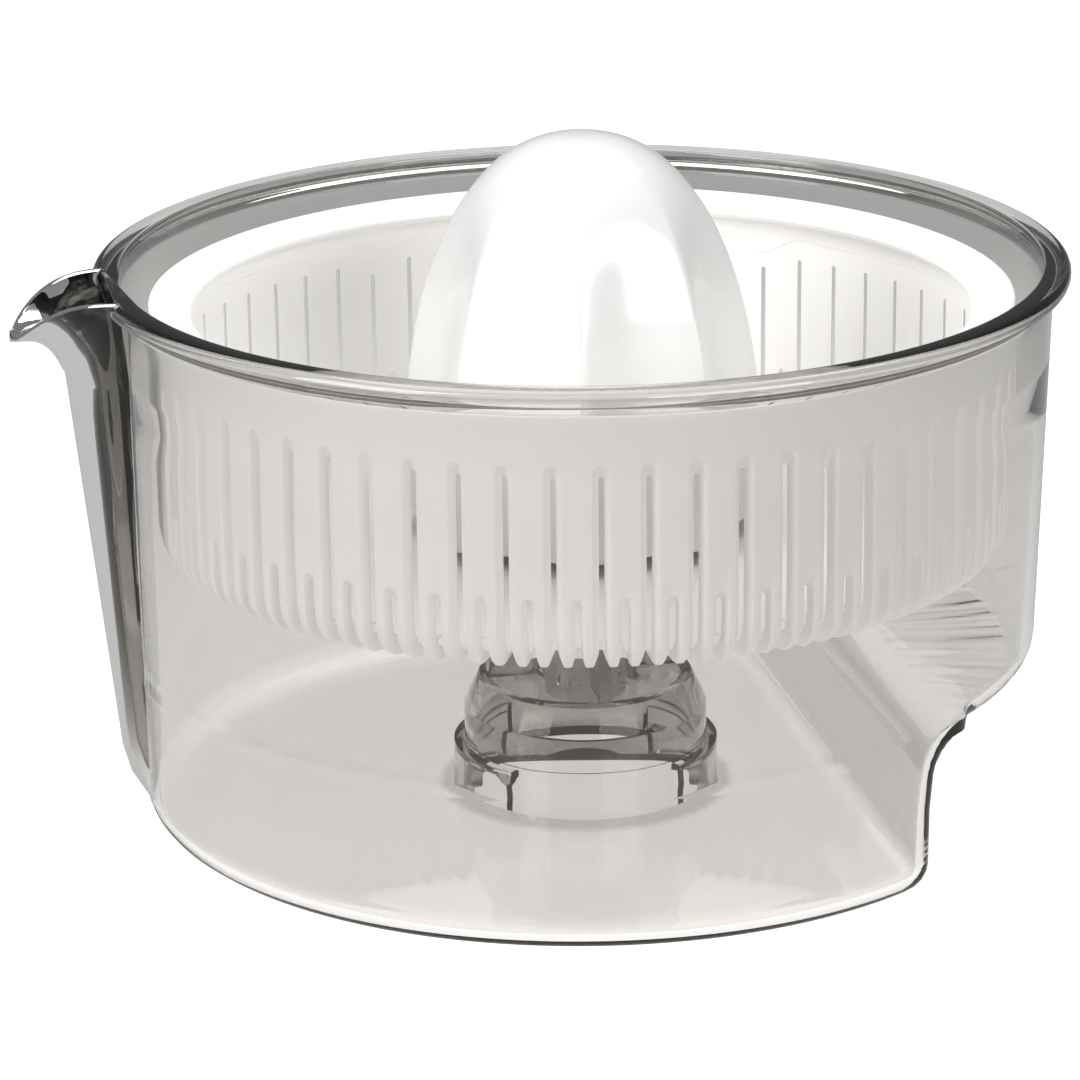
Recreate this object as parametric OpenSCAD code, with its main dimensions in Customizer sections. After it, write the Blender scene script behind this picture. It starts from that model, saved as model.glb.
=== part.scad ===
/* [Bowl] */
// Outer radius of the rim flange
rim_r = 98; // [94:0.5:102]
// Height of the rim above the surface the bowl stands on
rim_z = 113.5; // [108:0.5:120]
// Outer radius of the bowl wall just under the rim
wall_top_r = 94.5; // [92:0.5:96]
// Outer radius of the bowl wall at its foot
wall_foot_r = 90.9; // [88:0.5:92]
// Thickness of the bowl's clear wall
wall_t = 2.1; // [1.8:0.1:2.6]
// Thickness of the bowl's floor
floor_t = 2.2; // [1.8:0.1:2.8]
// Distance from the drive axis to the outer face of the step
step_x = 54; // [50:1:60]
// Height of the underside of the raised shelf beside the step
shelf_z = 31.5; // [26:0.5:36]

/* [Spout] */
// Reach of the pouring lip from the drive axis
spout_reach = 115; // [112:0.5:118]
// Height of the lip's tip
spout_tip_z = 104; // [102:0.5:106]
// Half the width of the mouth where the spout leaves the rim
mouth_half_w = 15; // [13:0.5:17]

/* [Post] */
// Outer radius of the post that stands over the drive socket
post_r = 25; // [24.5:0.1:26]
// Radius of the socket's locating bore
socket_r = 22.6; // [22.2:0.1:22.8]
// Outer radius of the neck that carries the drive shaft
neck_r = 10.9; // [10.7:0.1:11]
// Height of the neck's open top
neck_z = 61; // [60:0.1:61]

/* [Strainer] */
// Outer radius of the strainer's flat flange
flange_r = 87; // [86:0.5:88]
// Number of long slots round the strainer
slot_count = 60; // [40:4:64]
// Width of a slot at the strainer's outer face
slot_outer_w = 3; // [2:0.1:3.4]
// Width of a slot at the strainer's inner face
slot_inner_w = 0.9; // [0.8:0.1:1.6]
// Turn of the strainer on its post
strainer_turn = -9.8; // [-180:0.1:180]

/* [Reamer] */
// Radius of the reamer over its ridges at the foot
cone_r = 36.8; // [34:0.1:38]
// Height of the reamer's tip above the surface
cone_top_z = 138.7; // [134:0.1:142]
// Number of ridges on the reamer
ridge_count = 8; // [6:1:10]
// Depth of the flutes as a share of the radius
flute_depth = 0.11; // [0.06:0.01:0.14]

/* [Drive] */
// Radius of the drive shaft
shaft_r = 4; // [3.9:0.05:4]
// Width across the flats of the reamer's hexagonal driver
hex_af = 14; // [13:0.5:14]

/* [Hidden] */
FINE = 96;
gap = 0.3;          // between pieces that move on each other
running = 0.05;     // radial clearance of a shaft in its bush

// Bowl heights and radii
corner_r = 6;
fillet_z = rim_z - 6;
step_fillet_r = 8.5;
shoulder_z = 26;
shoulder_r = 21.8;
post_straight_z = 19;
pocket_z = 11.5;
pocket_r = 27.2;
pocket_wall = 1.8;
pocket_span = 102;
pocket_turn = -7;
mouth_r = 23.2;
neck_bore_r = 8.8;
rib_t = 2.7;
rib_r = 20.5;
rib_top_z = 54.1;
rib_top_r = 4.5;     // beyond the inner edge of the rib
CLEAR = [0.80, 0.78, 0.76, 0.45];

// Spout stations
crease_inset = 1.5;
spout_foot_z = 5;
spout_bend_z = 95;
ridge_kink_z = 13.6;
ridge_kink_r = 95.6;
ridge_bend_r = 104.3;
u_steps = 12;
low_steps = 10;
lip_steps = 9;
lip_root_r = 96;

// Strainer heights and radii
basket_under_z = 54.5;
basket_floor_z = 57;
basket_top_z = 106.4;
basket_in_r = 84.4;
basket_out_foot_r = 86.4;
flange_in_r = 78.3;
long_slot_z = 95;
short_slot_z = 69.5;
long_slot_r = 70;
short_slot_r = 75;
hub_r = 15.5;
hub_z = 72;
pilot_r = neck_r + gap;
bush_seat_r = 13.3;
bush_seat_z = 62;
key_w = 4;

// Reamer heights and radii
cone_foot_z = 60;
cone_wall = 2.4;
stem_r = 10.4;
stem_foot_z = 64.3;
shoulder_foot_z = hub_z + 2.1;
shoulder_top_z = shoulder_foot_z + 5;
hex_depth_z = 93;
flute_fade = 22;
cone_rings = 22;
flute_steps = 8;

// Drive heights and radii
dog_foot_z = 20;
dog_top_z = 34.6;
dog_r = 8.4;
dog_socket_af = 9;
dog_socket_depth = 11;
washer_t = 1.2;
bush_foot_z = dog_top_z + washer_t + gap;
bush_len = 8;
upper_bush_z = 49.5;
seal_z = 58;
slinger_z = neck_z + gap;
clip_z = slinger_z + 1;
driver_z = clip_z + 1;
driver_top_z = 92;
pin_r = 1;

function wall_r(z) = wall_foot_r
    + (wall_top_r - wall_foot_r) * min(1, max(0, (z - corner_r) / (fillet_z - corner_r)));

// Points of an arc about (cx, cz) from angle a0 to a1
function arc(cx, cz, r, a0, a1, n = 8) =
    [for (i = [0:n]) let (a = a0 + (a1 - a0) * i / n) [cx + r * cos(a), cz + r * sin(a)]];

// Solid of the bowl standing at height z0, inset t from its outer face
module bowl_solid(z0, t, corner, top) {
    foot = wall_r(z0 + corner) - t;
    rotate_extrude($fn = FINE) polygon(concat(
        [[0, z0 + (t > 0 ? floor_t : 0)]],
        arc(foot - corner, z0 + (t > 0 ? floor_t : 0) + corner, corner, -90, 0),
        [[wall_r(fillet_z) - t, fillet_z], [wall_r(fillet_z) - t, top], [0, top]]));
}

// Everything on the spout's side of the step, inset t from the step's outer face
module step_side(t) {
    r = step_fillet_r + t;
    cx = step_x + step_fillet_r;
    cz = shelf_z - step_fillet_r;
    translate([0, 150, 0]) rotate([90, 0, 0]) linear_extrude(300)
        polygon(concat([[-150, -1], [step_x - t, -1]],
            arc(cx, cz, r, 180, 90), [[cx, cz + r + 4], [-150, cz + r + 4]]));
}

module stepped(t, corner, top) {
    intersection() {
        bowl_solid(0, t, corner, top);
        step_side(t);
    }
    bowl_solid(shelf_z, t, corner, top);
}

module rim_flange() {
    round_r = 1.7;
    edge_r = 0.8;
    in_r = wall_top_r - wall_t;
    rotate_extrude($fn = FINE) polygon(concat(
        [[in_r, fillet_z], [wall_top_r, fillet_z]],
        arc(wall_top_r + 2.2, fillet_z + 0.4, 2.2, 180, 90, 4),
        arc(rim_r - round_r, rim_z - round_r, round_r, -90, 90),
        arc(in_r + edge_r, rim_z - edge_r, edge_r, 90, 180, 4)));
}

// Spout: ridge of the underside and edge of the mouth, as [radius, half width, height]
function ridge_low(z) = z < ridge_kink_z
    ? wall_r(z) - 0.4 + (ridge_kink_r - wall_r(z) + 0.4)
        * (z - spout_foot_z) / (ridge_kink_z - spout_foot_z)
    : ridge_kink_r + (ridge_bend_r - ridge_kink_r) * (z - ridge_kink_z) / (spout_bend_z - ridge_kink_z);
function half_w_low(z) = 3 + 9.5 * pow((z - spout_foot_z) / (spout_bend_z - spout_foot_z), 1.1);
function lip_edge(s) = [lip_root_r + (spout_reach - lip_root_r) * s,
    (mouth_half_w - 5.5 * s) * sqrt(max(0.03, 1 - pow(s, 5))),
    rim_z - 0.1 - (rim_z - spout_tip_z) * pow(s, 2.6)];
function lip_ridge(s) = let (b = min(1, s * 1.35)) [
    ridge_bend_r + (spout_reach - ridge_bend_r) * pow(s, 1.3),
    spout_bend_z + (spout_tip_z - 2.0 - spout_bend_z + 1.6) * sin(90 * b) + 0.2 * s];

// One station of the spout, inset t inwards. A station of the hollow reaches back past the mouth
// by reach, tilted up by tilt degrees, so that it opens the mouth.
function station(edge, ridge, t, reach, tilt) = let (w = max(0.6, edge[1] - t),
    back = [-edge[0] + reach * cos(tilt), edge[2] + reach * sin(tilt)]) concat(
    [if (reach > 0) [back[0], -w, back[1]], [-edge[0], -w, edge[2]]],
    [for (i = [1:u_steps - 1]) let (v = 2 * i / u_steps - 1, f = pow(abs(v), 2.2))
        [-(ridge[0] + (edge[0] - ridge[0]) * f), w * v * (1.18 - 0.18 * v * v),
            ridge[1] + (edge[2] - ridge[1]) * f]],
    [[-edge[0], w, edge[2]], if (reach > 0) [back[0], w, back[1]]]);

function low_station(z, t, reach) = station([wall_r(z) - crease_inset, half_w_low(z), z],
    [ridge_low(z) - t, z], t, reach, 0);
function wall_station(k, t, reach) = station(
    [wall_r(rim_z) - crease_inset + 2 * k, half_w_low(spout_bend_z)
        + (mouth_half_w - half_w_low(spout_bend_z)) * k,
        spout_bend_z + (rim_z - 0.1 - spout_bend_z) * k],
    [ridge_bend_r - t + 0.2 * k, spout_bend_z + 1.5 * k], t, reach, 50 * k);
function lip_station(s, t, reach) = let (e = lip_edge(s), r = lip_ridge(s), out = t > 0 ? 1.5 * s : 0)
    station([e[0] + out, e[1], e[2]],
        [max(r[0], ridge_bend_r + 0.2) - t * (1 - s) + out,
            max(r[1], spout_bend_z + 1.5) + t * min(1, s * 1.5)],
        t, reach, 50 + 40 * min(1, 3 * s));

module spout_solid(t, reach) {
    rings = concat(
        [for (i = [0:low_steps]) low_station(spout_foot_z
            + (spout_bend_z - spout_foot_z) * i / low_steps, t, reach)],
        [for (i = [1:3]) wall_station(i / 3, t, reach)],
        [for (i = [1:lip_steps]) lip_station(i / lip_steps, t, reach)]);
    m = len(rings[0]);
    n = len(rings);
    polyhedron(points = [for (ring = rings) for (p = ring) p],
        faces = concat(
            [for (i = [1:m - 2]) [0, i + 1, i]],
            [for (k = [0:n - 2]) for (i = [0:m - 1])
                [k * m + i, (k + 1) * m + (i + 1) % m, (k + 1) * m + i]],
            [for (k = [0:n - 2]) for (i = [0:m - 1])
                [k * m + i, k * m + (i + 1) % m, (k + 1) * m + (i + 1) % m]],
            [for (i = [1:m - 2]) [(n - 1) * m, (n - 1) * m + i, (n - 1) * m + i + 1]]));
}

// Bayonet pocket on each side of the post: its outside, or the hollow inside it
module pocket(hollow) {
    span = pocket_span - (hollow ? 8 : 0);
    r = pocket_r - (hollow ? pocket_wall : 0);
    h = pocket_z - (hollow ? pocket_wall : 0);
    rotate([0, 0, pocket_turn - span / 2]) rotate_extrude(angle = span, $fn = FINE)
        translate([mouth_r - 0.4, hollow ? -1 : 0]) square([r - mouth_r + 0.4, h + (hollow ? 1 : 0)]);
}

module post_solid() {
    foot = rib_r - neck_r + 1;
    rotate_extrude($fn = FINE) polygon([[0, 0], [post_r, 0], [post_r, post_straight_z],
        [shoulder_r, shoulder_z], [neck_r, shoulder_z], [neck_r, neck_z], [0, neck_z]]);
    for (turn = [0, 180]) rotate([0, 0, turn]) pocket(false);
    for (turn = [0:90:270]) rotate([0, 0, turn]) translate([neck_r - 1, rib_t / 2, 0])
        rotate([90, 0, 0]) linear_extrude(rib_t) polygon([[0, shoulder_z - 1],
            [foot, shoulder_z - 1], [foot, shoulder_z + 2], [rib_top_r, rib_top_z], [0, rib_top_z]]);
}

module post_hollow() {
    shoulder_under_z = shoulder_z - 2;
    rotate_extrude($fn = FINE) polygon([[0, -1], [mouth_r, -1], [mouth_r, pocket_z],
        [socket_r, pocket_z], [socket_r, post_straight_z - 0.5], [shoulder_r - 2.2, shoulder_under_z],
        [neck_bore_r, shoulder_under_z], [neck_bore_r, neck_z + 1], [0, neck_z + 1]]);
    for (turn = [0, 180]) rotate([0, 0, turn]) pocket(true);
}

// The clear moulding without its spout and post, then the regions that it is divided into
module shell() {
    difference() {
        union() {
            stepped(0, corner_r, fillet_z + 1);
            rim_flange();
        }
        stepped(wall_t, corner_r - wall_t, rim_z + 1);
    }
}

module floor_region() {
    difference() {
        intersection() {
            translate([0, 0, -1]) cylinder(r = wall_foot_r - corner_r, h = floor_t + 1, $fn = FINE);
            translate([-150, -150, -2]) cube([150 + step_x - corner_r, 300, floor_t + 4]);
        }
        translate([0, 0, -2]) cylinder(r = post_r, h = floor_t + 4, $fn = FINE);
        for (turn = [0, 180]) rotate([0, 0, turn]) pocket(false);
    }
}

module step_region() {
    translate([step_x - corner_r, -150, -1]) cube([100, 300, shelf_z + corner_r + 1]);
}

module bowl_floor() color(CLEAR) intersection() {
    shell();
    floor_region();
}

module bowl_step() color(CLEAR) intersection() {
    shell();
    step_region();
}

module bowl_wall() color(CLEAR) difference() {
    shell();
    translate([0, 0, -2]) cylinder(r = wall_foot_r - corner_r, h = floor_t + 2, $fn = FINE);
    step_region();
    spout_solid(0, 8);
}

module spout() color(CLEAR) difference() {
    spout_solid(0, 0);
    spout_solid(wall_t, 8);
}

module drive_post() color(CLEAR) difference() {
    post_solid();
    post_hollow();
}

// Strainer basket: turned shell with a floor, a hub and a flange turned inwards
module basket_shell() {
    corner_in = 6;
    corner_out = 8;
    rotate_extrude($fn = FINE) polygon(concat(
        [[pilot_r, basket_under_z]],
        arc(basket_out_foot_r - corner_out, basket_under_z + corner_out, corner_out, -90, 0, 4),
        [[flange_r, basket_top_z - 3], [flange_r, basket_top_z - 0.6],
            [flange_r - 0.6, basket_top_z], [flange_in_r + 0.5, basket_top_z - 2],
            [flange_in_r, basket_top_z - 2.5], [flange_in_r + 0.5, basket_top_z - 3.8],
            [basket_in_r, basket_top_z - 5]],
        arc(basket_in_r - corner_in, basket_floor_z + corner_in, corner_in, 0, -90, 3),
        [[hub_r, basket_floor_z], [hub_r, hub_z], [bush_seat_r, hub_z],
            [bush_seat_r, bush_seat_z], [pilot_r, bush_seat_z]]));
}

// One slot: narrow at the inner face and wide at the outer face, open down through the corner
module slot(top_z, floor_r) {
    w = slot_inner_w / 2;
    out_r = flange_r + 1;
    translate([0, 0, basket_under_z - 1]) linear_extrude(top_z - basket_under_z + 1)
        polygon([[floor_r, -w], [basket_in_r, -w], [out_r, -slot_outer_w / 2],
            [out_r, slot_outer_w / 2], [basket_in_r, w], [floor_r, w]]);
}

module strainer_basket() color("white") rotate([0, 0, strainer_turn]) difference() {
    basket_shell();
    for (i = [0:slot_count - 1]) rotate([0, 0, i * 360 / slot_count]) slot(long_slot_z, long_slot_r);
    for (i = [0:slot_count - 1]) rotate([0, 0, (i + 0.5) * 360 / slot_count])
        slot(short_slot_z, short_slot_r);
    for (turn = [0, 180]) rotate([0, 0, turn]) translate([bush_seat_r - 1, -key_w / 2 - gap,
        hub_z - 3.3]) cube([4, key_w + 2 * gap, 4]);
}

// Reamer: profile radius at height z, and the share of the flute depth there
function cone_u(z) = min(1, max(0, (z - cone_foot_z) / (cone_top_z - cone_foot_z)));
function cone_radius(z) = cone_r * pow(1 - pow(cone_u(z), 2.5), 0.443);
function fade(z) = let (f = min(1, max(0, (cone_top_z - 4 - z) / flute_fade))) f * f * (3 - 2 * f);
function ring_z(i) = cone_top_z - 0.4 - (cone_top_z - 0.4 - cone_foot_z)
    * (1 - sin(90 * i / cone_rings));
function cone_point(z, a) = let (r = cone_radius(z)
    * (1 - flute_depth * fade(z) * abs(sin(a * ridge_count / 2)))) [r * cos(a), r * sin(a), z];

module cone_outer() {
    m = ridge_count * flute_steps;
    n = cone_rings + 1;
    polyhedron(points = concat(
            [for (i = [0:cone_rings]) for (j = [0:m - 1]) cone_point(ring_z(i), j * 360 / m)],
            [[0, 0, cone_foot_z], [0, 0, cone_top_z]]),
        faces = concat(
            [for (j = [0:m - 1]) [j, (j + 1) % m, n * m]],
            [for (i = [0:n - 2]) for (j = [0:m - 1])
                [i * m + j, (i + 1) * m + j, (i + 1) * m + (j + 1) % m]],
            [for (i = [0:n - 2]) for (j = [0:m - 1])
                [i * m + j, (i + 1) * m + (j + 1) % m, i * m + (j + 1) % m]],
            [for (j = [0:m - 1]) [(n - 1) * m + j, n * m + 1, (n - 1) * m + (j + 1) % m]]));
}

module cone_hollow() {
    roof_z = cone_top_z - 7;
    rotate_extrude($fn = FINE) polygon(concat([[0, cone_foot_z - 1],
        [cone_radius(cone_foot_z) * (1 - flute_depth) - cone_wall, cone_foot_z - 1]],
        [for (i = [0:10]) let (z = cone_foot_z + (roof_z - cone_foot_z) * sin(9 * i))
            [max(0, cone_radius(z) * (1 - flute_depth * fade(z)) - cone_wall
                - 4 * pow(i / 10, 3)), z]], [[0, roof_z]]));
}

module reamer_cone() color("white") rotate([0, 0, 33]) difference() {
    union() {
        difference() {
            cone_outer();
            cone_hollow();
        }
        translate([0, 0, stem_foot_z]) cylinder(r = stem_r, h = cone_top_z - 5 - stem_foot_z, $fn = FINE);
        translate([0, 0, shoulder_foot_z]) cylinder(r = bush_seat_r + 1.7,
            h = shoulder_top_z - shoulder_foot_z, $fn = FINE);
    }
    translate([0, 0, stem_foot_z - 1]) cylinder(d = (hex_af + 2 * gap) / cos(30),
        h = hex_depth_z - stem_foot_z + 1, $fn = 6);
    translate([0, 0, stem_foot_z + 0.9]) difference() {
        cylinder(r = stem_r + 1, h = 1, $fn = FINE);
        translate([0, 0, -1]) cylinder(r = stem_r - 0.6, h = 3, $fn = FINE);
    }
}

// A ring of inner radius a and outer radius b from z0 to z1
module ring(a, b, z0, z1) {
    difference() {
        translate([0, 0, z0]) cylinder(r = b, h = z1 - z0, $fn = FINE);
        translate([0, 0, z0 - 1]) cylinder(r = a, h = z1 - z0 + 2, $fn = FINE);
    }
}

module cone_bush() color("gainsboro") rotate([0, 0, strainer_turn]) {
    ring(stem_r + running, bush_seat_r - gap, stem_foot_z + 2.2, hub_z + 1);
    ring(stem_r + running, hub_r - 0.3, hub_z + gap, hub_z + gap + 1.5);
    for (turn = [0, 180]) rotate([0, 0, turn]) translate([bush_seat_r - gap - 0.5, -key_w / 2,
        hub_z - 3]) cube([hub_r - 0.8 - bush_seat_r + gap + 0.5, key_w, 3.5]);
}

module cone_clip() color("silver") difference() {
    ring(stem_r - 0.6, 12.2, stem_foot_z + 0.9, stem_foot_z + 1.9);
    translate([0, -1.5, stem_foot_z]) cube([20, 3, 4]);
}

module drive_shaft() color("silver") difference() {
    translate([0, 0, dog_foot_z + dog_socket_depth + 1]) cylinder(r = shaft_r,
        h = driver_top_z - 2 - dog_foot_z - dog_socket_depth - 1, $fn = FINE);
    ring(shaft_r - 0.5, shaft_r + 1, clip_z, driver_z);
    for (z = [dog_top_z - 1.3, driver_z + 8]) translate([0, 0, z]) rotate([0, 90, 0])
        cylinder(r = pin_r, h = 30, center = true, $fn = 32);
}

module cross_pin(z, half_len) {
    translate([0, 0, z]) rotate([0, 90, 0]) cylinder(r = pin_r, h = 2 * half_len, center = true, $fn = 32);
}

module drive_dog() color("dimgray") difference() {
    translate([0, 0, dog_foot_z]) cylinder(r = dog_r, h = dog_top_z - dog_foot_z, $fn = FINE);
    translate([0, 0, dog_foot_z - 1]) cylinder(d = dog_socket_af / cos(30),
        h = dog_socket_depth + 1, $fn = 6);
    translate([0, 0, dog_foot_z]) cylinder(r = shaft_r, h = 30, $fn = FINE);
    cross_pin(dog_top_z - 1.3, 20);
}

module dog_pin() color("silver") cross_pin(dog_top_z - 1.3, dog_r - 0.4);

module thrust_washer() color("gainsboro") ring(shaft_r, 8.2, dog_top_z, dog_top_z + washer_t);

module lower_bush() color("gainsboro") ring(shaft_r + running, neck_bore_r, bush_foot_z,
    bush_foot_z + bush_len);

module upper_bush() color("gainsboro") ring(shaft_r + running, neck_bore_r, upper_bush_z, seal_z);

module shaft_seal() color("darkgray") {
    ring(shaft_r + running, 6, seal_z, seal_z + 1.2);
    ring(6, neck_bore_r, seal_z, neck_z - 0.2);
}

module slinger_washer() color("silver") ring(shaft_r, 9.9, slinger_z, clip_z);

module retaining_clip() color("silver") difference() {
    ring(shaft_r - 0.5, 6.4, clip_z, driver_z);
    translate([0, -1.2, clip_z - 1]) cube([20, 2.4, 4]);
}

module cone_driver() color("gainsboro") rotate([0, 0, 33]) difference() {
    translate([0, 0, driver_z]) cylinder(d = hex_af / cos(30), h = driver_top_z - driver_z, $fn = 6);
    rotate([0, 0, -33]) translate([0, 0, driver_z - 1]) cylinder(r = shaft_r,
        h = driver_top_z - 2 - driver_z + 1, $fn = FINE);
    rotate([0, 0, -33]) cross_pin(driver_z + 8, 20);
}

module driver_pin() color("silver") cross_pin(driver_z + 8, hex_af / 2 - 0.3);

bowl_floor();
bowl_step();
bowl_wall();
spout();
drive_post();
strainer_basket();
reamer_cone();
cone_bush();
cone_clip();
drive_shaft();
drive_dog();
dog_pin();
thrust_washer();
lower_bush();
upper_bush();
shaft_seal();
slinger_washer();
retaining_clip();
cone_driver();
driver_pin();
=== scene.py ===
import math

import bmesh
import bpy
from mathutils import Matrix, Vector


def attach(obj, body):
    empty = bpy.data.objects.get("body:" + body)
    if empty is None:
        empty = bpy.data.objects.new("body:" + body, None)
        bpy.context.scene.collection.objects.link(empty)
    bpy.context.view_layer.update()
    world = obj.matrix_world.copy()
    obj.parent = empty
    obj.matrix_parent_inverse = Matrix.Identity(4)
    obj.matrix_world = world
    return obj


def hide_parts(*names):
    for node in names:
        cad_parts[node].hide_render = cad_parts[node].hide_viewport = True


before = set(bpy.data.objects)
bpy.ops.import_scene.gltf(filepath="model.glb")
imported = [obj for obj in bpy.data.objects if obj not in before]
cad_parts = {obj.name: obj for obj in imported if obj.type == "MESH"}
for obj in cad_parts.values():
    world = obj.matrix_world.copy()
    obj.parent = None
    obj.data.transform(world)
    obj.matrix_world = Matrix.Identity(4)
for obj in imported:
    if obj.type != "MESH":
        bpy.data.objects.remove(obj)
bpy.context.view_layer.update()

MM = 0.001
TURN = 2 * math.pi

# Bowl sizes, in millimetres
WALL_T = 2.1
FLOOR_T = 2.2
CORNER_R = 6.0
STEP_X = 54.0
STEP_CX = 62.5
STEP_CZ = 23.0
SHELF_Z = 31.5
POST_R = 25.0
NECK_R = 10.9
MOUTH_R = 23.2
SPOUT_BEND_Z = 95.0
SPOUT_HALF = 8.0      # degrees of section that the spout's channel takes up
SPOUT_SECTOR = 12.0   # degrees over which the section is finer


def clamp(x, low=0.0, high=1.0):
    return max(low, min(high, x))


def mix(a, b, k):
    return a + (b - a) * k


def smooth(x):
    x = clamp(x)
    return x * x * (3 - 2 * x)


def soft_min(a, b, width):
    h = max(width - abs(a - b), 0.0) / width
    return min(a, b) - h * h * width * 0.25


def spread(low, high, n, first=0):
    """n steps from low to high, from step number first."""
    return [mix(low, high, i / n) for i in range(first, n + 1)]


# ---------------------------------------------------------------- bowl section


def wall_r(z):
    return 90.9 + 3.6 * clamp((z - CORNER_R) / 101.5)


def ridge_low(z):
    if z < 13.6:
        return mix(wall_r(z) - 0.4, 95.6, (z - 5) / 8.6)
    return 95.6 + 8.7 * (z - 13.6) / 81.4


def half_w_low(z):
    return 3 + 9.5 * clamp((z - 5) / 90) ** 1.1


def spout_station(level, inset):
    """Edge (radius, half width, height) and ridge (radius, height) of the spout.
    level is 0 at the bend, 1 where the lip leaves the rim and 2 at the lip's tip."""
    if level <= 1:
        k = level
        edge = [93 + 2 * k, mix(half_w_low(SPOUT_BEND_Z), 15, k), 95 + 18.4 * k]
        ridge = [104.3 - inset + 0.2 * k, 95 + 1.5 * k]
        return edge, ridge
    s = min(1.0, level - 1)
    root = math.sqrt(max(0.03, 1 - s ** 5))
    edge = [mix(95, 96, min(1, 6 * s)) + 19 * s, (15 - 5.5 * s) * root, 113.4 - 9.5 * s ** 2.6]
    bend = math.sin(math.pi / 2 * min(1.0, 1.35 * s))
    ridge = [max(104.5, 104.3 + 10.7 * s ** 1.3) - inset * (1 - s),
             max(96.5, 95 + 8.6 * bend + 0.2 * s) + inset * min(1.0, 1.5 * s)]
    return edge, ridge


def spout_point(edge, ridge, across, inset):
    """Point of a station at across from -1 to 1."""
    half = max(0.5, edge[1] - inset)
    share = abs(across) ** 2.2
    return Vector((-mix(ridge[0], edge[0], share),
                   half * across * (1.18 - 0.18 * across * across),
                   mix(ridge[1], edge[2], share)))


def polar(r, degrees, z):
    a = math.radians(degrees)
    return Vector((r * math.cos(a), r * math.sin(a), z))


def shell_rows():
    """Rows of the bowl's shell from the middle of its floor to just under the rim."""
    rows = [("floor", g) for g in (0.0, 0.12, 0.3, 0.5, 0.7, 0.88)]
    rows += [("foot", a) for a in spread(-90, 0, 6)]
    rows += [("rise", z) for z in (11.5, 17.5)]
    rows += [("bend", a) for a in spread(180, 90, 7)]
    rows += [("shelf", q) for q in (0.33, 0.66)]
    rows += [("corner", a) for a in spread(-90, 0, 6)]
    rows += [("wall", z) for z in (44.0, 52.0, 60.0, 68.0, 76.0, 84.0, 90.0)]
    return rows


def shell_point(kind, value, degrees, t):
    """Point of the shell at an angle; t is 0 outside and the wall's thickness inside."""
    inside = 1.0 if t > 0 else 0.0
    floor_z = FLOOR_T * inside
    foot_r = CORNER_R - t
    shelf_z = SHELF_Z + t
    step_x = STEP_X - t
    c = math.cos(math.radians(degrees))
    reach = (lambda x: x / c) if c > 0.02 else (lambda x: 1e4)
    wall = lambda z: wall_r(z) - t
    start_r = POST_R if inside else MOUTH_R
    if kind == "floor":
        end = soft_min(reach(step_x - foot_r), wall(6) - foot_r, 6)
        return polar(mix(start_r, end, value), degrees, floor_z)
    if kind == "foot":
        a = math.radians(value)
        dx, z = foot_r * math.cos(a), floor_z + foot_r * (1 + math.sin(a))
        r = soft_min(reach(step_x - foot_r + dx), wall(6) - foot_r + dx, 6)
        return polar(r, degrees, z)
    if kind == "rise":
        return polar(soft_min(reach(step_x), wall(value), 6), degrees, value)
    if kind == "bend":
        a = math.radians(value)
        round_r = 8.5 + t
        z = STEP_CZ + round_r * math.sin(a)
        return polar(soft_min(reach(STEP_CX + round_r * math.cos(a)), wall(z), 4), degrees, z)
    shelf_start = soft_min(reach(STEP_CX), wall(shelf_z), 4)
    corner = CORNER_R - t
    shelf_end = max(shelf_start, wall(shelf_z + corner) - corner)
    if kind == "shelf":
        return polar(mix(shelf_start, shelf_end, value), degrees, shelf_z)
    if kind == "corner":
        a = math.radians(value)
        z = shelf_z + corner * (1 + math.sin(a))
        r = max(wall(shelf_z + corner) - corner + corner * math.cos(a),
                mix(shelf_start, wall(z), smooth((z - shelf_z) / corner)) if shelf_start >= shelf_end
                else 0)
        return polar(min(r, wall(z)), degrees, z)
    return polar(wall(value), degrees, value)


INNER_STEPS = 16
OUTER_WALL = [99.0, 102.5, 105.5, 107.9]


def rim_rows():
    """Rows from the bend up the inside, over the rim and down the outside."""
    rows = [("lip", (WALL_T, h, (92.4, mix(95, 112.7, h)))) for h in spread(0, 1, INNER_STEPS)]
    for a in (150, 120, 90):
        rows.append(("edge", ((a - 180) / -110.0,
                              (93.2 + 0.8 * math.cos(math.radians(a)),
                               112.7 + 0.8 * math.sin(math.radians(a))))))
    rows.append(("edge", (0.92, (94.7, 113.5))))
    outer = [(96.3 + 1.7 * math.cos(math.radians(a)), 111.8 + 1.7 * math.sin(math.radians(a)))
             for a in spread(90, -90, 9)]
    outer += [(96.7 + 2.2 * math.cos(math.radians(a)), 107.9 + 2.2 * math.sin(math.radians(a)))
              for a in (112, 130, 148, 164)]
    outer += [(wall_r(z), z) for z in reversed(OUTER_WALL)] + [(wall_r(95), 95)]
    n = len(outer) - 1
    rows += [("lip", (0.0, 1 - i / n, p)) for i, p in enumerate(outer)]
    return rows


def lip_point(across, h, inset):
    """Point of the spout above its bend, at share h of the way up to its edge."""
    far = abs(across)
    tip = 0.08
    if far < tip:
        s_end, v_end = 1.0, far / tip
    else:
        s_end, v_end = 1 - ((far - tip) / (1 - tip)) ** 1.25, 1.0
    level = (1 + s_end) * h
    v = mix(far, v_end, h ** 2)
    edge, ridge = spout_station(level, inset)
    return spout_point(edge, ridge, math.copysign(v, across) if across else 0.0, inset)


def warp(degrees, half_w, radius, cut):
    """Angle of a row beside the spout, whose channel has that half width at that radius."""
    off = degrees - 180
    edge = math.degrees(math.asin(half_w / radius)) + cut
    k = (abs(off) - SPOUT_HALF - 0.25) / (SPOUT_SECTOR - SPOUT_HALF - 0.25)
    return 180 + math.copysign(mix(edge, SPOUT_SECTOR, k), off)


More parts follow.
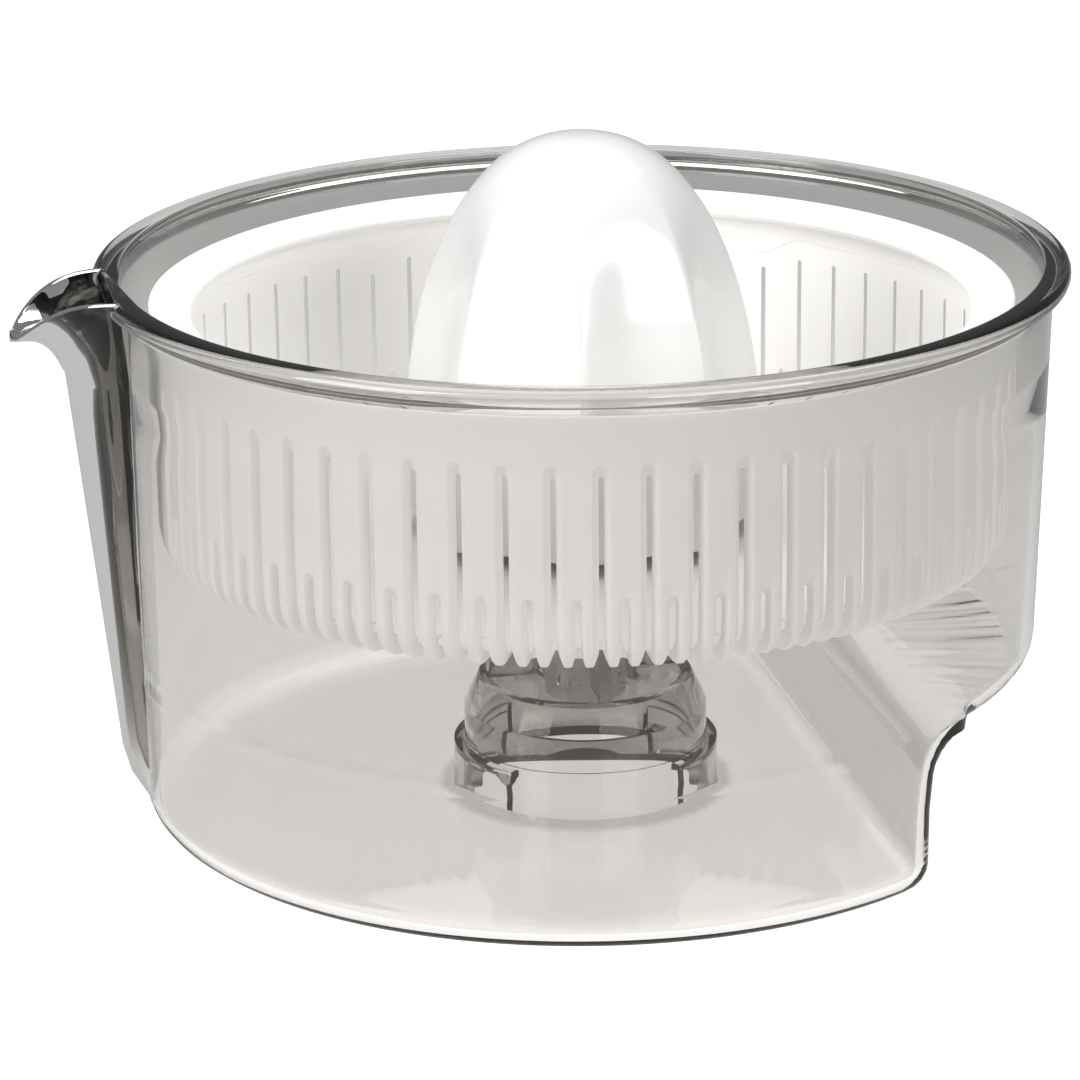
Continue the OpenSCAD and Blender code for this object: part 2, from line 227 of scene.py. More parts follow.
def bowl_point(row, degrees):
    kind, value = row
    off = degrees - 180
    near_spout = abs(off) < SPOUT_SECTOR - 0.01
    across = clamp(off / SPOUT_HALF, -1, 1) if abs(off) <= SPOUT_HALF + 0.01 else None
    if kind in ("edge", "lip"):
        if kind == "edge":
            share, (r, z) = value
            if across is not None:
                inner = lip_point(across, 1, WALL_T)
                outer = lip_point(across, 1, 0.0)
                p = inner.lerp(outer, share)
                p.z += 0.35 * math.sin(math.pi * share) - 0.2
                return p
        else:
            inset, h, (r, z) = value
            if across is not None:
                p = lip_point(across, h, inset)
                p.z -= 0.2 * clamp((h - 0.9) * 10)
                return p
        if near_spout:
            half_w = mix(half_w_low(95), 15.0, clamp((z - 95) / 16))
            return polar(r, warp(degrees, half_w, 94.5, 0.04), z)
        return polar(r, degrees, z)
    if kind in ("post", "bore"):
        return post_point(value, degrees, kind == "post")
    part, t, number = value
    p = shell_point(part, number, degrees, t)
    if near_spout and part != "floor":
        hold = clamp(p.z / 5)
        z = max(p.z, 5.0)
        edge = [wall_r(z) - 1.5, half_w_low(z), z]
        if across is not None:
            q = spout_point(edge, [ridge_low(z) - t, z], across, t)
            r_wall = math.hypot(p.x, p.y)
            y = mix(p.y, q.y, hold)
            x = -math.sqrt(max(0.0, r_wall ** 2 - y * y))
            x = min(x, q.x) if p.z >= 5 else x
            return Vector((x, y, p.z))
        bent = warp(degrees, half_w_low(z), wall_r(z), 0.15)
        return polar(math.hypot(p.x, p.y), mix(degrees, bent, hold), p.z)
    return p


# ---------------------------------------------------------------- post section

POCKET_MID = (-7.0, 173.0)
POCKET_HALF = 51.0
POCKET_SIDE = 4.0     # degrees that a pocket is narrower inside the socket
POCKET_DEPTH = 2.2


def in_pocket(degrees, half):
    return any(abs((degrees - mid + 180) % 360 - 180) <= half for mid in POCKET_MID)


def post_point(value, degrees, outside):
    """Points of the post, its neck and its socket."""
    name, r, z = value
    if name == "pocket":
        half = POCKET_HALF if outside else POCKET_HALF - POCKET_SIDE
        if in_pocket(degrees, half):
            r += POCKET_DEPTH
        return polar(r, degrees, z)
    if name == "neck":
        off = (degrees + 45) % 90 - 45
        if abs(off) <= 6.01:
            side = clamp(off / 5, -1, 1)
            rib_r = mix(20.5, 14.4, clamp((z - 28) / 26.1))
            y = 1.35 * side
            x = rib_r if abs(off) < 5.5 and z <= 54.1 else math.sqrt(NECK_R ** 2 - y * y)
            if r > rib_r:
                x = r
            base = round((degrees - off) / 90) * 90
            return Matrix.Rotation(math.radians(base), 3, "Z") @ Vector((x, y, z))
    return polar(r, degrees, z)


def bowl_rows():
    rows = [("bore", ("plain", 8.8, 60.4)), ("bore", ("plain", 9.2, 61.0))]
    rows += [("post", ("plain", 10.5, 61.0)), ("post", ("plain", NECK_R, 60.4))]
    rows += [("post", ("neck", NECK_R, z)) for z in (54.2, 54.1, 47.0, 40.0, 34.0, 28.0, 26.0)]
    rows += [("post", ("neck", r, 26.0)) for r in (14.0, 20.6)]
    rows += [("post", ("plain", r, z)) for r, z in
             ((21.4, 26.0), (21.8, 25.8), (22.1, 25.4), (24.8, 19.6), (25.0, 19.0))]
    rows += [("post", ("plain", POST_R, z)) for z in (16.0, 12.4)]
    rows += [("post", ("plain", POST_R, 11.5))]
    rows += [("post", ("pocket", POST_R, z)) for z in (11.4, 7.0, 3.4)]
    rows += [("shell", (kind, WALL_T, value)) for kind, value in shell_rows()]
    rows += rim_rows()
    rows += [("shell", (kind, 0.0, value)) for kind, value in reversed(shell_rows())]
    rows += [("bore", ("pocket", MOUTH_R, z)) for z in (0.4, 5.0, 9.6)]
    rows += [("bore", ("plain", MOUTH_R, 9.7)), ("bore", ("plain", MOUTH_R, 11.5)),
             ("bore", ("plain", 22.6, 11.6)), ("bore", ("plain", 22.6, 18.5)),
             ("bore", ("plain", 19.6, 24.0)), ("bore", ("plain", 12.0, 24.0)),
             ("bore", ("plain", 8.8, 24.1)), ("bore", ("plain", 8.8, 40.0))]
    return rows


# ---------------------------------------------------------------- mesh helpers


def finish_mesh(bm, name, material, sharp_degrees=32.0, merge=1e-3):
    """Closes seams, turns faces outwards, marks the sharp edges and makes the piece in metres."""
    bmesh.ops.remove_doubles(bm, verts=bm.verts, dist=merge)
    bmesh.ops.dissolve_degenerate(bm, edges=bm.edges, dist=merge)
    bmesh.ops.recalc_face_normals(bm, faces=bm.faces)
    if bm.calc_volume(signed=True) < 0:
        bmesh.ops.reverse_faces(bm, faces=bm.faces)
    limit = math.radians(sharp_degrees)
    for face in bm.faces:
        face.smooth = True
    for e in bm.edges:
        e.smooth = len(e.link_faces) == 2 and e.calc_face_angle(0.0) < limit
    bmesh.ops.scale(bm, vec=(MM, MM, MM), verts=bm.verts)
    mesh = bpy.data.meshes.new(name)
    bm.to_mesh(mesh)
    bm.free()
    mesh.materials.append(material)
    piece = bpy.data.objects.new(name, mesh)
    bpy.context.scene.collection.objects.link(piece)
    return piece


def spun_section(points, sectors):
    """Sweeps a closed section round the drive axis; each vertex keeps its row number."""
    bm = bmesh.new()
    row = bm.verts.layers.int.new("row")
    ring = [bm.verts.new((r, 0, z)) for r, z in points]
    for i, v in enumerate(ring):
        v[row] = i
    geom = ring + [bm.edges.new((a, b)) for a, b in zip(ring, ring[1:] + ring[:1])]
    for degrees, steps in sectors:
        out = bmesh.ops.spin(bm, geom=geom, cent=(0, 0, 0), axis=(0, 0, 1),
                             angle=math.radians(degrees), steps=steps, use_merge=False)
        geom = out["geom_last"]
    bmesh.ops.remove_doubles(bm, verts=bm.verts, dist=1e-4)
    return bm, row


ROW_GAP = 0.00001    # keeps rows that share a point apart until each vertex is placed


def build_bowl(material):
    rows = bowl_rows()
    section = []
    for i, r in enumerate(rows):
        p = bowl_point(r, 90.0)
        section.append((p.y, p.z + ROW_GAP * i))
    bm, row = spun_section(section, [(168, 168), (24, 96), (168, 168)])
    for v in bm.verts:
        degrees = math.degrees(math.atan2(v.co.y, v.co.x)) % 360
        v.co = bowl_point(rows[v[row]], degrees)
    return finish_mesh(bm, "clear_bowl", material)


# ---------------------------------------------------------------- reamer cone

CONE_TURN = math.radians(33)    # a ridge and a corner of the hexagonal bore lie at this angle
BORE_FLAT_R = 7.3


def cone_radius(z):
    u = clamp((z - 60) / 78.7)
    return 36.8 * (1 - u ** 2.5) ** 0.443


def build_reamer(material):
    outer = [(cone_radius(z), z) for z in
             [60 + 78.55 * math.sin(math.pi / 2 * i / 64) for i in range(65)]]
    inner = [(max(0.0, cone_radius(z) - 2.4), z) for z in
             [60 + 75.0 * math.sin(math.pi / 2 * i / 24) for i in range(24, -1, -1)]]
    inner[0] = (13.0, inner[0][1])
    stem = [(10.4, 134.0), (10.4, 79.1), (15.0, 79.1), (15.0, 74.1), (10.4, 74.1),
            (10.4, 64.9), (9.9, 64.3)]
    bore = [(8.43, 64.3), (8.43, 93.0), (0.0, 93.0)]
    bm = bmesh.new()
    row = bm.verts.layers.int.new("row")
    points = [(0.0, 138.7)] + outer[::-1] + inner[::-1] + stem + bore
    chain = [bm.verts.new((r, 0, z)) for r, z in points]
    for i, v in enumerate(chain):
        v[row] = i
    geom = chain + [bm.edges.new((a, b)) for a, b in zip(chain, chain[1:])]
    bmesh.ops.spin(bm, geom=geom, cent=(0, 0, 0), axis=(0, 0, 1), angle=TURN, steps=256,
                   use_merge=True)
    bmesh.ops.remove_doubles(bm, verts=bm.verts, dist=1e-4)
    skin = len(outer) + len(inner) + 1
    hexed = len(points) - 3
    for v in bm.verts:
        r, z = math.hypot(v.co.x, v.co.y), v.co.z
        if r < 1e-4:
            continue
        a = math.atan2(v.co.y, v.co.x)
        if v[row] < skin:
            fade = smooth((134.7 - z) / 22)
            r *= 1 - 0.11 * fade * abs(math.sin(4 * (a - CONE_TURN)))
        elif v[row] >= hexed:
            off_flat = (a - CONE_TURN) % (math.pi / 3) - math.pi / 6
            r = BORE_FLAT_R / math.cos(off_flat)
        v.co.x, v.co.y = r * math.cos(a), r * math.sin(a)
    return finish_mesh(bm, "fluted_cone", material, 26.0)


# ---------------------------------------------------------------- strainer basket

STRAINER_TURN = math.radians(-9.8)
SLOTS = 60
SECTOR = 360 / SLOTS
CELLS = 16
LONG_COLUMNS = {1: -1.0, 2: -0.8, 3: -0.45, 4: 0.0, 5: 0.45, 6: 0.8, 7: 1.0}
SHORT_COLUMNS = {9: -1.0, 10: -0.8, 11: -0.45, 12: 0.0, 13: 0.45, 14: 0.8, 15: 1.0}
LONG_HALF = (1.5, 0.5)     # half widths of a long slot, outside and inside
SHORT_HALF = (1.25, 0.55)
LEDGE_CREST = 0.7          # the ledge over the inner slots waves every 60 degrees
LEDGE_DIP = 3.0
SLOT_DIP = 2.6
KEY_NOTCH_Z = 68.7
KEY_HALF = 2.3


def corner_points(centre_r, centre_z, radius):
    return [(centre_r + radius * math.cos(math.radians(a)), centre_z - radius * math.sin(math.radians(a)))
            for a in (0, 22.5, 45, 67.5, 90)]


def strainer_rows():
    """Closed section of the basket; rows tagged out or in carry the slots."""
    outside = [(86.7, 95.0), (86.65, 87.0), (86.6, 79.0), (86.5, 69.2), (86.45, 65.5)]
    outside += corner_points(78.4, 62.5, 8.0) + [(76.0, 54.5), (71.5, 54.5)]
    inside = [(84.75, 93.1), (84.7, 86.0), (84.65, 78.0), (84.6, 68.0), (84.55, 65.5)]
    inside += corner_points(78.4, 63.1, 6.1) + [(76.0, 57.0), (71.5, 57.0)]
    rows = [("rim", r, z) for r, z in ((78.7, 103.0), (80.0, 102.3), (83.6, 101.6), (84.3, 101.0))]
    rows += [("ledge", 84.35, 97.6), ("ledge", 84.75, 97.2)]
    rows += [("in", r, z) for r, z in inside]
    rows += [("plain", r, z) for r, z in
             ((60.0, 57.0), (38.0, 57.0), (16.3, 57.0), (15.6, 57.7), (15.5, 65.0), (15.5, 71.7),
              (15.2, 72.0), (13.6, 72.0), (13.3, 71.7), (13.3, 68.6), (13.3, 62.0), (11.2, 62.0),
              (11.2, 55.0), (11.7, 54.5), (38.0, 54.5), (60.0, 54.5))]
    rows += [("out", r, z) for r, z in reversed(outside)]
    rows += [("plain", 86.8, 99.5), ("plain", 86.9, 103.4), ("plain", 87.0, 105.7),
             ("plain", 86.85, 106.2), ("plain", 86.4, 106.4), ("rim", 82.5, 105.4),
             ("rim", 79.1, 104.5), ("rim", 78.5, 104.2), ("rim", 78.3, 103.7)]
    return rows


LAST_STATION = 11
SHORT_FIRST, SHORT_LAST = 3, 10


def station_of(rows, index):
    """Side and station of a row: station 0 is a long slot's top, the last one its inner end."""
    kind = rows[index][0]
    if kind == "in":
        return 1, index - [r[0] for r in rows].index("in")
    if kind == "out":
        return 0, LAST_STATION - (index - [r[0] for r in rows].index("out"))
    return None, None


def strainer_point(rows, index, column):
    _, r, z = rows[index]
    side, station = station_of(rows, index)
    angle = -1.5 + SECTOR * column / CELLS
    if side is not None:
        angles = {0: -1.5, 8: 1.5, 16: 4.5}
        for columns, halves, middle in ((LONG_COLUMNS, LONG_HALF, 0.0),
                                        (SHORT_COLUMNS, SHORT_HALF, 3.0)):
            for c, t in columns.items():
                angles[c] = middle + math.degrees(t * halves[side] / max(r, 76))
        angle = angles[column]
        for columns, halves, first, last in ((LONG_COLUMNS, LONG_HALF, 0, LAST_STATION),
                                             (SHORT_COLUMNS, SHORT_HALF, SHORT_FIRST, SHORT_LAST)):
            if column in columns:
                arch = halves[side] * math.sqrt(1 - columns[column] ** 2)
                if station == first:
                    z += arch
                elif station == last:
                    r -= arch
    return polar(r, angle, z)


def build_strainer(material):
    rows = strainer_rows()
    bm = bmesh.new()
    row, col = bm.verts.layers.int.new("row"), bm.verts.layers.int.new("column")
    ring = [bm.verts.new((r, 0, z)) for _, r, z in rows]
    for i, v in enumerate(ring):
        v[row] = i
    geom = ring + [bm.edges.new((a, b)) for a, b in zip(ring, ring[1:] + ring[:1])]
    bmesh.ops.spin(bm, geom=geom, cent=(0, 0, 0), axis=(0, 0, 1), angle=math.radians(SECTOR),
                   steps=CELLS, use_merge=False)
    for v in bm.verts:
        v[col] = round(math.degrees(math.atan2(v.co.y, v.co.x)) * CELLS / SECTOR)
    for v in bm.verts:
        v.co = strainer_point(rows, v[row], v[col])
    tags = {i: station_of(rows, i) for i in range(len(rows))}

    def in_slot(item, columns, first, last):
        for v in item.verts:
            side, station = tags[v[row]]
            if side is None or not first <= station <= last or v[col] not in columns:
                return False
        return True

    slots = ((LONG_COLUMNS, 0, LAST_STATION), (SHORT_COLUMNS, SHORT_FIRST, SHORT_LAST))
    holes = [f for f in bm.faces if any(in_slot(f, *slot) for slot in slots)]
    bmesh.ops.delete(bm, geom=holes, context="FACES")
    rims = []
    for slot in slots:
        loop = [e for e in bm.edges if e.is_boundary and in_slot(e, *slot)]
        rims += [e for e in loop if tags[e.verts[0][row]][0] == 0]
        bmesh.ops.bridge_loops(bm, edges=loop)
    bmesh.ops.bevel(bm, geom=rims, offset=0.3, offset_type="OFFSET", segments=2, profile=0.5,
                    affect="EDGES", material=-1, clamp_overlap=True)
    bmesh.ops.spin(bm, geom=bm.verts[:] + bm.edges[:] + bm.faces[:], cent=(0, 0, 0),
                   axis=(0, 0, 1), angle=math.radians(360 - SECTOR), steps=SLOTS - 1,
                   use_duplicate=True)
    bmesh.ops.remove_doubles(bm, verts=bm.verts, dist=1e-3)
    for v in bm.verts:
        degrees = math.degrees(math.atan2(v.co.y, v.co.x))
        off = (degrees + 30) % 60 - 30
        r, z = math.hypot(v.co.x, v.co.y), v.co.z
        if rows[v[row]][0] == "ledge":
            crest = math.exp(-((abs(off) - 6.5) / 2.5) ** 2)
            v.co.z += LEDGE_CREST * crest - LEDGE_DIP * math.exp(-(off / 3.4) ** 2)
        elif 84.0 < r < 85.2 and z > 92.5:
            v.co.z -= SLOT_DIP * math.exp(-(off / 3.0) ** 2)
        if 13.0 < r < 16.0 and z > KEY_NOTCH_Z and abs(v.co.y) < KEY_HALF:
            v.co.z = KEY_NOTCH_Z
    bmesh.ops.rotate(bm, cent=(0, 0, 0), matrix=Matrix.Rotation(STRAINER_TURN, 3, "Z"),
                     verts=bm.verts)
    return finish_mesh(bm, "slotted_basket", material, 35.0)


# ---------------------------------------------------------------- materials


def new_material(name):
    mat = bpy.data.materials.new(name)
    mat.use_nodes = True
    nodes = mat.node_tree.nodes
    shader = nodes["Principled BSDF"]
    return mat, mat.node_tree, shader


def grain_group():
    """Fine moulded grain: a colour that drifts a little and a small height."""
    group = bpy.data.node_groups.new("moulded_grain", "ShaderNodeTree")
    face = group.interface
    for name, kind, start in (("Light", "NodeSocketColor", (0.9, 0.9, 0.88, 1)),
                              ("Shade", "NodeSocketColor", (0.8, 0.8, 0.78, 1)),
                              ("Scale", "NodeSocketFloat", 60.0),
                              ("Smooth", "NodeSocketFloat", 0.3),
                              ("Rough", "NodeSocketFloat", 0.4)):
        face.new_socket(name, in_out="INPUT", socket_type=kind).default_value = start
    for name, kind in (("Color", "NodeSocketColor"), ("Roughness", "NodeSocketFloat"),
                       ("Height", "NodeSocketFloat")):
        face.new_socket(name, in_out="OUTPUT", socket_type=kind)
    nodes, links = group.nodes, group.links
    entry, leave = nodes.new("NodeGroupInput"), nodes.new("NodeGroupOutput")
    coords = nodes.new("ShaderNodeTexCoord")
    broad, fine = nodes.new("ShaderNodeTexNoise"), nodes.new("ShaderNodeTexNoise")
    broad.inputs["Detail"].default_value = 3
    fine.inputs["Detail"].default_value = 5
    step_up = nodes.new("ShaderNodeMath")
    step_up.operation = "MULTIPLY"
    step_up.inputs[1].default_value = 22.0
    blend = nodes.new("ShaderNodeMix")
    blend.data_type = "RGBA"
    rough = nodes.new("ShaderNodeMix")
    rough.data_type = "FLOAT"
    links.new(coords.outputs["Object"], broad.inputs["Vector"])
    links.new(coords.outputs["Object"], fine.inputs["Vector"])
    links.new(entry.outputs["Scale"], broad.inputs["Scale"])
    links.new(entry.outputs["Scale"], step_up.inputs[0])
    links.new(step_up.outputs[0], fine.inputs["Scale"])
    links.new(broad.outputs["Fac"], blend.inputs["Factor"])
    links.new(entry.outputs["Light"], blend.inputs["A"])
    links.new(entry.outputs["Shade"], blend.inputs["B"])
    links.new(fine.outputs["Fac"], rough.inputs["Factor"])
    links.new(entry.outputs["Smooth"], rough.inputs["A"])
    links.new(entry.outputs["Rough"], rough.inputs["B"])
    links.new(blend.outputs["Result"], leave.inputs["Color"])
    links.new(rough.outputs["Result"], leave.inputs["Roughness"])
    links.new(fine.outputs["Fac"], leave.inputs["Height"])
    return group


def grained(name, light, shade, scale, smooth_r, rough_r, bump, grain, **plain):
    """Moulded or turned finish with the shared grain in it."""
    mat, tree, shader = new_material(name)
    node = tree.nodes.new("ShaderNodeGroup")
    node.node_tree = grain
    for socket, value in (("Light", (*light, 1)), ("Shade", (*shade, 1)), ("Scale", scale),
                          ("Smooth", smooth_r), ("Rough", rough_r)):
        node.inputs[socket].default_value = value
    height = tree.nodes.new("ShaderNodeBump")
    height.inputs["Strength"].default_value = bump
    height.inputs["Distance"].default_value = 0.0002
    tree.links.new(node.outputs["Color"], shader.inputs["Base Color"])
    tree.links.new(node.outputs["Roughness"], shader.inputs["Roughness"])
    tree.links.new(node.outputs["Height"], height.inputs["Height"])
    tree.links.new(height.outputs["Normal"], shader.inputs["Normal"])
    for socket, value in plain.items():
        shader.inputs[socket.replace("_", " ")].default_value = value
    return mat


# Clarity of one wall by height in metres, real smoke tint and painted light and shade together: painted
# light keeps the floor clear where light falls on it, painted shade darkens the wall a little with height
# for the dim backdrop seen through it, and the step is painted darker on its rise and clearer at the
# shelf. The post takes one flat tint.
WALL_SMOKE_AND_SHADE = ((0.0025, 1.0), (0.008, 0.78), (0.045, 0.76), (0.062, 0.76), (0.112, 0.74))
STEP_SMOKE_AND_SHADE = ((0.0025, 1.0), (0.005, 0.60), (0.027, 0.62), (0.031, 0.88), (0.060, 0.80))
POST_SMOKE = 0.72
TOP = 0.115


def ramp_by_height(tree, fraction, stops_by_z):
    ramp = tree.nodes.new("ShaderNodeValToRGB")
    stops = ramp.color_ramp.elements
    while len(stops) < len(stops_by_z):
        stops.new(0.5)
    for stop, (z, clear) in zip(stops, stops_by_z):
        stop.position = z / TOP
        stop.color = (clear, clear * 0.985, clear * 0.965, 1)
    tree.links.new(fraction, ramp.inputs["Fac"])
    return ramp.outputs["Color"]


def between(tree, value, off, on):
    """Mask that is 0 at off and 1 at on."""
    span = tree.nodes.new("ShaderNodeMapRange")
    span.inputs["From Min"].default_value = off
    span.inputs["From Max"].default_value = on
    tree.links.new(value, span.inputs["Value"])
    return span.outputs["Result"]


def pick(tree, mask, a, b):
    choose = tree.nodes.new("ShaderNodeMix")
    choose.data_type = "RGBA"
    tree.links.new(mask, choose.inputs["Factor"])
    for socket, value in (("A", a), ("B", b)):
        if isinstance(value, tuple):
            choose.inputs[socket].default_value = value
        else:
            tree.links.new(value, choose.inputs[socket])
    return choose.outputs["Result"]


def smoke_and_painted_shade(tree):
    """Colour that one wall of the bowl lets through, part real smoke tint and part painted light and
    shade: painted light keeps the floor clear, painted shade makes the wall a little smokier with height,
    and the step and the post get tints of their own.
    """
    nodes, links = tree.nodes, tree.links
    coords = nodes.new("ShaderNodeTexCoord")
    parts = nodes.new("ShaderNodeSeparateXYZ")
    links.new(coords.outputs["Object"], parts.inputs[0])
    height = between(tree, parts.outputs["Z"], 0.0, TOP)
    flat = nodes.new("ShaderNodeCombineXYZ")
    links.new(parts.outputs["X"], flat.inputs["X"])
    links.new(parts.outputs["Y"], flat.inputs["Y"])
    distance = nodes.new("ShaderNodeVectorMath")
    distance.operation = "LENGTH"
    links.new(flat.outputs[0], distance.inputs[0])
    inside = between(tree, distance.outputs["Value"], 0.0875, 0.0865)
    past_step = between(tree, parts.outputs["X"], 0.0425, 0.0440)
    step = nodes.new("ShaderNodeMath")
    step.operation = "MULTIPLY"
    links.new(inside, step.inputs[0])
    links.new(past_step, step.inputs[1])
    wall = pick(tree, step.outputs[0], ramp_by_height(tree, height, WALL_SMOKE_AND_SHADE),
                ramp_by_height(tree, height, STEP_SMOKE_AND_SHADE))
    post = between(tree, distance.outputs["Value"], 0.031, 0.029)
    return pick(tree, post, wall, (POST_SMOKE, POST_SMOKE * 0.98, POST_SMOKE * 0.96, 1))


def clear_plastic(grain):
    """Clear smoked plastic; light rays pass straight through so that the inside is lit."""
    mat, tree, shader = new_material("clear_smoked_plastic")
    node = tree.nodes.new("ShaderNodeGroup")
    node.node_tree = grain
    for socket, value in (("Light", (1, 1, 1, 1)), ("Shade", (0.95, 0.945, 0.94, 1)),
                          ("Scale", 18.0), ("Smooth", 0.0), ("Rough", 0.02)):
        node.inputs[socket].default_value = value
    tint = tree.nodes.new("ShaderNodeMix")
    tint.data_type = "RGBA"
    tint.blend_type = "MULTIPLY"
    tint.inputs["Factor"].default_value = 1.0
    # Base colour: the grain times the smoke tint, which carries painted light on the floor and painted
    # shade on the wall and step.
    tree.links.new(smoke_and_painted_shade(tree), tint.inputs["A"])
    tree.links.new(node.outputs["Color"], tint.inputs["B"])
    tree.links.new(tint.outputs["Result"], shader.inputs["Base Color"])
    tree.links.new(node.outputs["Roughness"], shader.inputs["Roughness"])
    shader.inputs["IOR"].default_value = 1.49
    shader.inputs["Transmission Weight"].default_value = 1.0
    light_path = tree.nodes.new("ShaderNodeLightPath")
    either = tree.nodes.new("ShaderNodeMath")
    either.operation = "MAXIMUM"
    see_through = tree.nodes.new("ShaderNodeBsdfTransparent")
    see_through.inputs["Color"].default_value = (0.97, 0.97, 0.965, 1)
    smoke = tree.nodes.new("ShaderNodeVolumeAbsorption")
    smoke.inputs["Color"].default_value = (0.50, 0.48, 0.45, 1)
    smoke.inputs["Density"].default_value = 55.0
    swap = tree.nodes.new("ShaderNodeMixShader")
    out = tree.nodes["Material Output"]
    tree.links.new(light_path.outputs["Is Shadow Ray"], either.inputs[0])
    tree.links.new(light_path.outputs["Is Diffuse Ray"], either.inputs[1])
    tree.links.new(either.outputs[0], swap.inputs[0])
    tree.links.new(shader.outputs[0], swap.inputs[1])
    tree.links.new(see_through.outputs[0], swap.inputs[2])
    tree.links.new(swap.outputs[0], out.inputs["Surface"])
    tree.links.new(smoke.outputs[0], out.inputs["Volume"])
    return mat


# ---------------------------------------------------------------- pieces

grain = grain_group()
clear = clear_plastic(grain)
strainer_white = grained("strainer_white", (0.93, 0.92, 0.905), (0.90, 0.89, 0.875), 40, 0.30, 0.42,
                         0.04, grain)
reamer_white = grained("reamer_white", (0.78, 0.775, 0.765), (0.75, 0.745, 0.735), 30, 0.16, 0.26,
                       0.03, grain, Coat_Weight=0.35, Coat_Roughness=0.08)
bearing = grained("bearing_acetal", (0.78, 0.77, 0.74), (0.70, 0.69, 0.66), 90, 0.35, 0.5, 0.1,
                  grain)
steel = grained("turned_stainless", (0.62, 0.61, 0.60), (0.50, 0.49, 0.48), 160, 0.18, 0.38, 0.1,
                grain, Metallic=1.0)
dog_grey = grained("dog_grey", (0.46, 0.45, 0.44), (0.38, 0.37, 0.36), 120, 0.4, 0.6, 0.2, grain)
rubber = grained("seal_silicone_grey", (0.36, 0.35, 0.34), (0.28, 0.27, 0.26), 200, 0.6, 0.8,
                 0.25, grain)

bowl = build_bowl(clear)
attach(bowl, "bowl_body")
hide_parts("bowl_floor", "bowl_step", "bowl_wall", "spout", "drive_post")

cone = build_reamer(reamer_white)
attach(cone, "cone_body")
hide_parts("reamer_cone")

basket = build_strainer(strainer_white)
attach(basket, "strainer_body")
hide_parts("strainer_basket")

NODE_FINISH = {
    "cone_bush": bearing, "lower_bush": bearing,
    "upper_bush": bearing, "thrust_washer": bearing, "cone_driver": bearing,
    "drive_shaft": steel, "dog_pin": steel, "driver_pin": steel, "slinger_washer": steel,
    "retaining_clip": steel, "cone_clip": steel, "drive_dog": dog_grey, "shaft_seal": rubber,
}
for node_name, finish in NODE_FINISH.items():
    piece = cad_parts[node_name]
    piece.data.materials.clear()
    piece.data.materials.append(finish)

# ---------------------------------------------------------------- studio


def stage_plane(name, size, place, tilt, material):
    bm = bmesh.new()
    bmesh.ops.create_grid(bm, x_segments=1, y_segments=1, size=0.5)
    bmesh.ops.scale(bm, vec=(size[0], size[1], 1), verts=bm.verts)
    turn = Matrix.Translation(place) @ tilt
    bmesh.ops.transform(bm, matrix=turn, verts=bm.verts)
    mesh = bpy.data.meshes.new(name)
    bm.to_mesh(mesh)
    bm.free()
    mesh.materials.append(material)
    obj = bpy.data.objects.new(name, mesh)
    bpy.context.scene.collection.objects.link(obj)
    return obj


FLOOR_GLOW = 1.22
MIRRORED_GLOW = 0.4
FAR_GLOW = 0.45
GLOW_FADE = (0.16, 0.50)    # metres from the drive axis


def floor_finish():
    """Pale floor, white where it is seen; the clear plastic sees it fade with distance."""
    mat, tree, shader = new_material("pale_floor")
    nodes, links = tree.nodes, tree.links
    shader.inputs["Base Color"].default_value = (0.08, 0.08, 0.08, 1)
    shader.inputs["Roughness"].default_value = 0.9
    shader.inputs["Specular IOR Level"].default_value = 0.0
    shader.inputs["Emission Color"].default_value = (1, 1, 1, 1)
    coords, light_path = nodes.new("ShaderNodeTexCoord"), nodes.new("ShaderNodeLightPath")
    distance = nodes.new("ShaderNodeVectorMath")
    distance.operation = "LENGTH"
    links.new(coords.outputs["Object"], distance.inputs[0])
    fade = nodes.new("ShaderNodeMapRange")
    for socket, value in (("From Min", GLOW_FADE[0]), ("From Max", GLOW_FADE[1]), ("To Min", FLOOR_GLOW),
                          ("To Max", FAR_GLOW)):
        fade.inputs[socket].default_value = value
    links.new(distance.outputs["Value"], fade.inputs["Value"])
    mirrored = nodes.new("ShaderNodeMath")
    mirrored.operation = "SUBTRACT"
    mirrored.use_clamp = True
    links.new(light_path.outputs["Is Reflection Ray"], mirrored.inputs[0])
    links.new(light_path.outputs["Is Diffuse Ray"], mirrored.inputs[1])
    glow = fade.outputs["Result"]
    for mask, level in ((mirrored.outputs[0], MIRRORED_GLOW),
                        (light_path.outputs["Is Camera Ray"], FLOOR_GLOW)):
        choose = nodes.new("ShaderNodeMix")
        choose.data_type = "FLOAT"
        choose.inputs["B"].default_value = level
        links.new(mask, choose.inputs["Factor"])
        links.new(glow, choose.inputs["A"])
        glow = choose.outputs["Result"]
    links.new(glow, shader.inputs["Emission Strength"])
    return mat


AZIMUTH = math.radians(-12)
ELEVATION = math.radians(17.765)
DISTANCE = 0.9803
AIM = Vector((0, 0, 0.060))
ROLL = math.radians(-0.517)

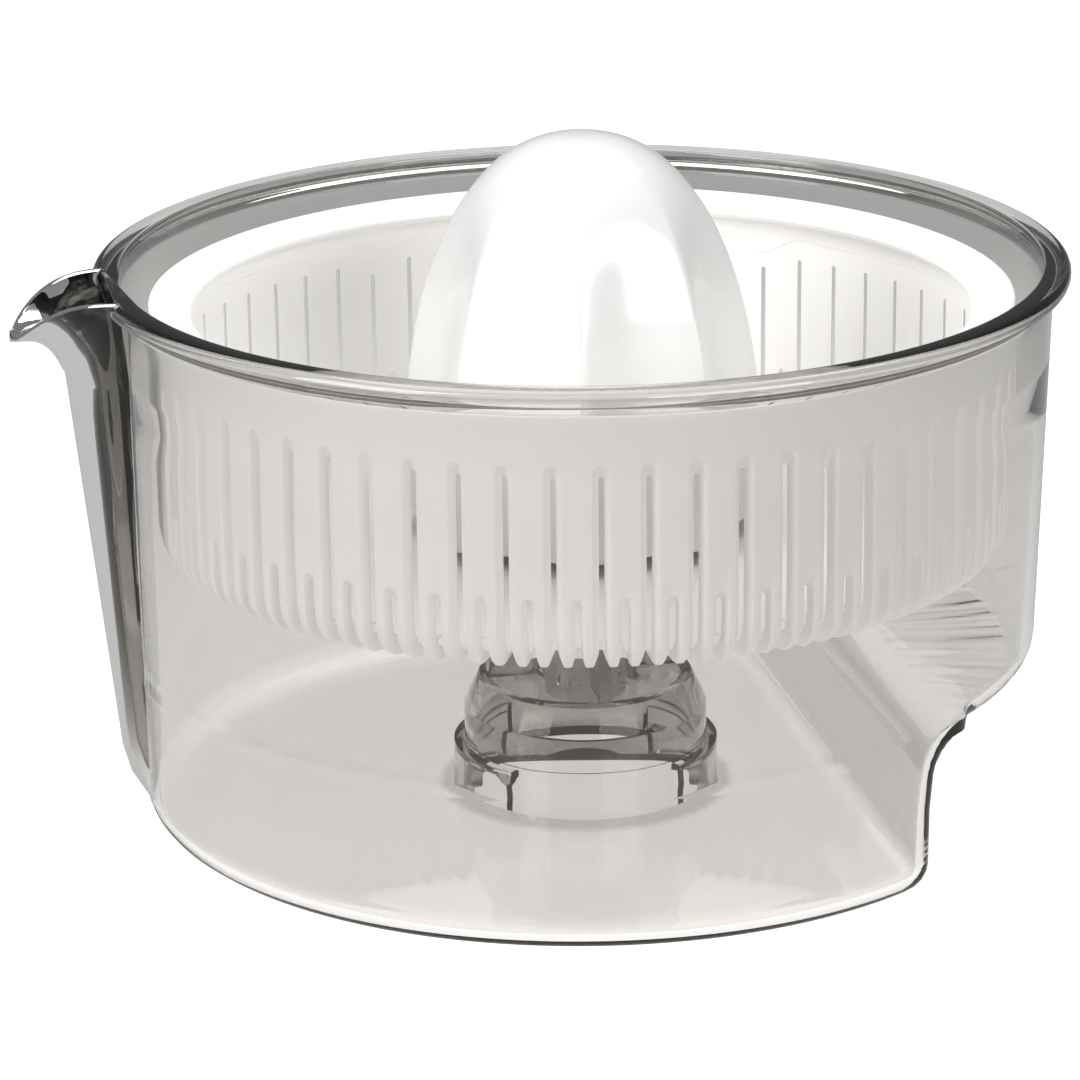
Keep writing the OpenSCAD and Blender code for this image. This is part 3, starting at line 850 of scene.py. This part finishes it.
right = Vector((math.cos(AZIMUTH), math.sin(AZIMUTH), 0))
back = Vector((math.sin(AZIMUTH) * math.cos(ELEVATION), -math.cos(AZIMUTH) * math.cos(ELEVATION),
               math.sin(ELEVATION)))
up = back.cross(right)
cam_data = bpy.data.cameras.new("studio_camera")
cam_data.lens = 160.08
cam_data.sensor_width = 36
cam_data.shift_x = -0.0403
cam_data.shift_y = -0.0282
cam_data.clip_start = 0.01
camera = bpy.data.objects.new("studio_camera", cam_data)
axes = Matrix((right, up, back)).transposed().to_4x4()
camera.matrix_world = Matrix.Translation(AIM + back * DISTANCE) @ axes @ Matrix.Rotation(ROLL, 4, "Z")
bpy.context.scene.collection.objects.link(camera)
bpy.context.scene.camera = camera

stage_plane("pale_floor", (6, 6), (0, 0, -0.0002), Matrix.Identity(4), floor_finish())


def soft_light(name, direction, distance, size, power, aim=(0, 0, 0.06)):
    data = bpy.data.lights.new(name, "AREA")
    data.shape = "RECTANGLE"
    data.size, data.size_y = size
    data.energy = power
    lamp = bpy.data.objects.new(name, data)
    direction = Vector(direction).normalized()
    lamp.location = Vector(aim) + direction * distance
    lamp.rotation_euler = direction.to_track_quat("Z", "Y").to_euler()
    bpy.context.scene.collection.objects.link(lamp)
    return lamp


soft_light("top_softbox", (0.1, 0.2, 1), 1.3, (1.2, 1.2), 14)
soft_light("left_softbox", (-1, -0.5, 0.7), 1.3, (0.7, 0.9), 13)
soft_light("front_fill", (0.4, -1, 0.5), 1.4, (0.9, 0.6), 9)

world = bpy.data.worlds.new("studio")
bpy.context.scene.world = world
world.use_nodes = True
sky = world.node_tree.nodes["Background"]
sky.inputs["Color"].default_value = (0.9, 0.9, 0.9, 1)
sky.inputs["Strength"].default_value = 0.2

scene = bpy.context.scene
scene.view_settings.view_transform = "Standard"
scene.cycles.max_bounces = 24
scene.cycles.transmission_bounces = 24
scene.cycles.glossy_bounces = 8
scene.cycles.transparent_max_bounces = 32
scene.cycles.diffuse_bounces = 5
scene.cycles.caustics_reflective = False
scene.cycles.caustics_refractive = False
